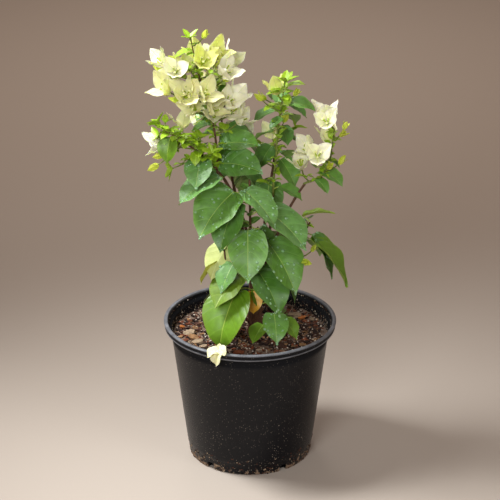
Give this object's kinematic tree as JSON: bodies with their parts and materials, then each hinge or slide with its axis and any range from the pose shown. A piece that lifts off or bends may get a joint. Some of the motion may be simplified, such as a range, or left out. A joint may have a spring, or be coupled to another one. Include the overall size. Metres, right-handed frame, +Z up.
{
  "type": "potted bougainvillea plant",
  "caption": "Young white-bracted bougainvillea shrub with broad heart-shaped leaves, standing in a round tapered nursery pot filled with potting mix.",
  "frame": {"origin": "centre of the pot's flat underside, on the surface it stands on", "axes": "+Z up along the pot's axis; -Y is the side with the broadest leaves and the lowest leaf at the rim; +X is to the right seen from that side"},
  "size_m": [0.2722, 0.2346, 0.6061],
  "materials": {
    "pot_plastic": "matt black moulded polypropylene with scuffs and dried soil near the foot",
    "potting_mix": "dark moist bark and compost with white perlite grains",
    "bark": "thin brown bark, rough, greener towards the tips",
    "foliage": "smooth satin leaf, mid green, younger leaves yellow-green",
    "blossom": "thin papery bract, cream white with yellow-green veins"
  },
  "bodies": {
    "root": {"pot": "pot_plastic", "soil": "potting_mix", "trunk": "bark", "bough_left": "bark", "bough_top": "bark", "bough_back_left": "bark", "bough_back_right": "bark", "bough_centre": "bark", "bough_right": "bark", "bough_low_right": "bark", "bough_front": "bark", "leaves_front": "foliage", "leaves_left": "foliage", "shoot_centre": "foliage", "leaves_low_right": "foliage", "skirt_left": "foliage", "skirt_right": "foliage", "leaves_back_left": "foliage", "leaves_back_right": "foliage", "skirt_back": "foliage", "blossom_top": "blossom", "blossom_right": "blossom"}
  },
  "joints": []
}
